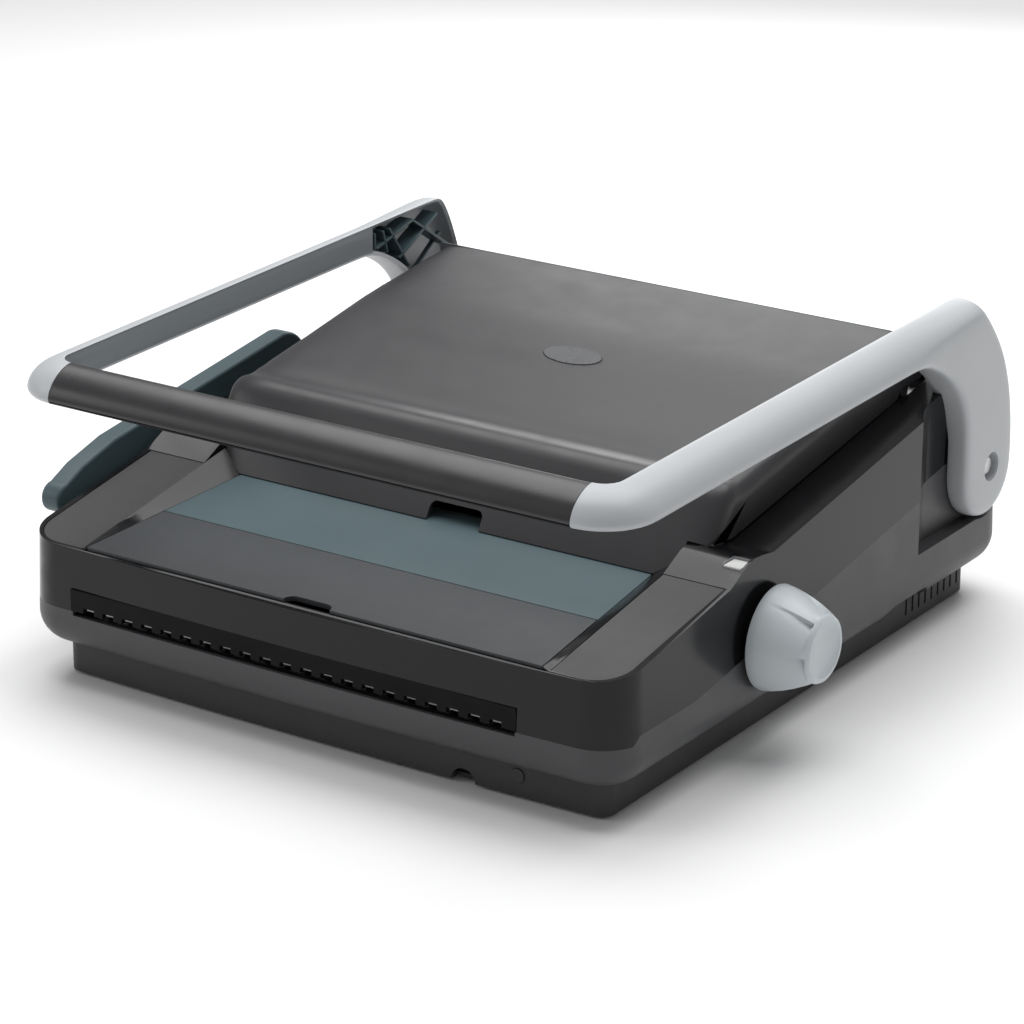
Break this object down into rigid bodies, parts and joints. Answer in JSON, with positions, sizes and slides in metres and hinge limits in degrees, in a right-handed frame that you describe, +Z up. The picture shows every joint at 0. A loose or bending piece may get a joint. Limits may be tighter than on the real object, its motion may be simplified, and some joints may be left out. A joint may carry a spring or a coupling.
{
  "type": "comb binding machine",
  "caption": "Desktop comb binding machine with a U-shaped punch handle, hinged lid, side margin knob, comb-opening lever and pull-out chip drawer.",
  "frame": {"origin": "on the table, under the middle of the base", "axes": "+X to the machine's right, +Y to its rear, +Z up"},
  "size_m": [0.4746, 0.4604, 0.2008],
  "materials": {
    "housing_gloss": "high gloss black ABS",
    "housing_satin": "fine satin dark grey ABS",
    "base_black": "spark-textured black ABS",
    "foot_rubber": "soft matte rubber",
    "screw_steel": "zinc plated",
    "plate_matte": "matte textured inlay",
    "throat_black": "matte black",
    "window_clear": "clear polished plastic",
    "dial_white": "white print carrier",
    "tray_grey": "satin dark grey",
    "slate_panel": "satin slate blue-grey",
    "frame_steel": "zinc plated sheet",
    "die_steel": "ground steel",
    "pin_steel": "hardened and ground",
    "carrier_alloy": "extruded, mill finish",
    "comb_steel": "nickel plated",
    "gear_nylon": "natural acetal",
    "gear_steel": "sintered steel",
    "knob_grey": "satin light grey",
    "drawer_black": "fine textured black ABS",
    "lid_satin": "satin dark grey ABS",
    "badge_silver": "blank satin oval",
    "trim_light": "satin silver-grey",
    "arm_silver": "satin silver-grey paint on moulded nylon",
    "bar_gunmetal": "satin gunmetal paint",
    "bar_dark": "dark soft-touch grip",
    "core_steel": "plain steel tube"
  },
  "bodies": {
    "body": {"upper_housing": "housing_gloss", "lower_housing": "housing_satin", "base_pan": "base_black", "rubber_feet": "foot_rubber", "base_screws": "screw_steel", "screw_plug": "base_black", "rear_cover": "housing_satin", "left_plate": "plate_matte", "right_plate": "plate_matte", "throat_panel": "throat_black", "scale_window": "window_clear", "scale_dial": "dial_white", "apron_panel": "slate_panel", "comb_deck": "base_black", "left_frame": "frame_steel", "right_frame": "frame_steel", "cross_bars": "frame_steel", "shaft_bushes": "gear_nylon", "slide_guides": "gear_nylon", "die_plate": "die_steel", "stripper_plate": "die_steel", "throat_spacers": "die_steel", "chip_chute": "base_black", "comb_rack": "comb_steel", "opener_rails": "gear_nylon", "hinge_brackets": "frame_steel", "hinge_pins": "pin_steel"},
    "cover": {"punch_cover": "tray_grey", "cover_pins": "pin_steel"},
    "punch": {"punch_carrier": "carrier_alloy", "punch_pins": "pin_steel", "cam_rod": "pin_steel"},
    "slides": {"left_slide": "frame_steel", "right_slide": "frame_steel"},
    "margin": {"margin_stop": "die_steel", "stop_racks": "gear_nylon"},
    "knob": {"knob_shaft": "pin_steel", "knob_pinions": "gear_nylon", "margin_knob": "knob_grey"},
    "hooks": {"hook_plate": "comb_steel", "comb_hooks": "comb_steel", "opener_racks": "gear_nylon"},
    "lever": {"lever_shaft": "pin_steel", "lever_pinions": "gear_nylon", "comb_lever": "slate_panel"},
    "drawer": {"chip_drawer": "drawer_black"},
    "lid": {"lid": "lid_satin", "lid_badge": "badge_silver", "lid_trim": "trim_light"},
    "handle": {"left_arm": "arm_silver", "right_arm": "arm_silver", "left_arm_cover": "slate_panel", "right_arm_cover": "slate_panel", "bar_shell": "bar_gunmetal", "bar_underside": "bar_dark", "bar_core": "core_steel", "handle_shaft": "pin_steel", "drive_pinions": "gear_steel", "pivot_screws": "screw_steel"}
  },
  "joints": [
    {"name": "handle_press", "type": "hinge", "parent": "body", "child": "handle", "pos_m": [0, 0.1935, 0.091], "axis": [-1, 0, 0], "range_deg": [-8, 70]},
    {"name": "slide_travel", "type": "slide", "parent": "body", "child": "slides", "axis": [0, 1, 0], "range_m": [-0.01467, 0.00169]},
    {"name": "punch_stroke", "type": "slide", "parent": "body", "child": "punch", "axis": [0, 0, 1], "range_m": [-0.00124, 0.01078]},
    {"name": "margin_turn", "type": "hinge", "parent": "body", "child": "knob", "pos_m": [0.211, -0.07, 0.067], "axis": [1, 0, 0], "range_deg": [0, 90]},
    {"name": "margin_travel", "type": "slide", "parent": "body", "child": "margin", "axis": [0, 1, 0], "range_m": [0, 0.00786]},
    {"name": "lever_turn", "type": "hinge", "parent": "body", "child": "lever", "pos_m": [-0.2146, 0.042, 0.115], "axis": [-1, 0, 0], "range_deg": [0, 70]},
    {"name": "hook_travel", "type": "slide", "parent": "body", "child": "hooks", "axis": [0, 1, 0], "range_m": [-0.01834, 0]},
    {"name": "lid_hinge", "type": "hinge", "parent": "body", "child": "lid", "pos_m": [0, 0.156, 0.163], "axis": [-1, 0, 0], "range_deg": [0, 80]},
    {"name": "cover_hinge", "type": "hinge", "parent": "body", "child": "cover", "pos_m": [0, -0.1635, 0.09287], "axis": [-1, 0, 0], "range_deg": [0, 95]},
    {"name": "drawer_slide", "type": "slide", "parent": "body", "child": "drawer", "axis": [-1, 0, 0], "range_m": [0, 0.3]}
  ],
  "couplings": [
    {"joint": "slide_travel", "follows": "handle_press", "m_per_rad": -0.012},
    {"joint": "punch_stroke", "follows": "handle_press", "m_per_rad": 0.0088147},
    {"joint": "margin_travel", "follows": "margin_turn", "m_per_rad": 0.005},
    {"joint": "hook_travel", "follows": "lever_turn", "m_per_rad": -0.015}
  ]
}
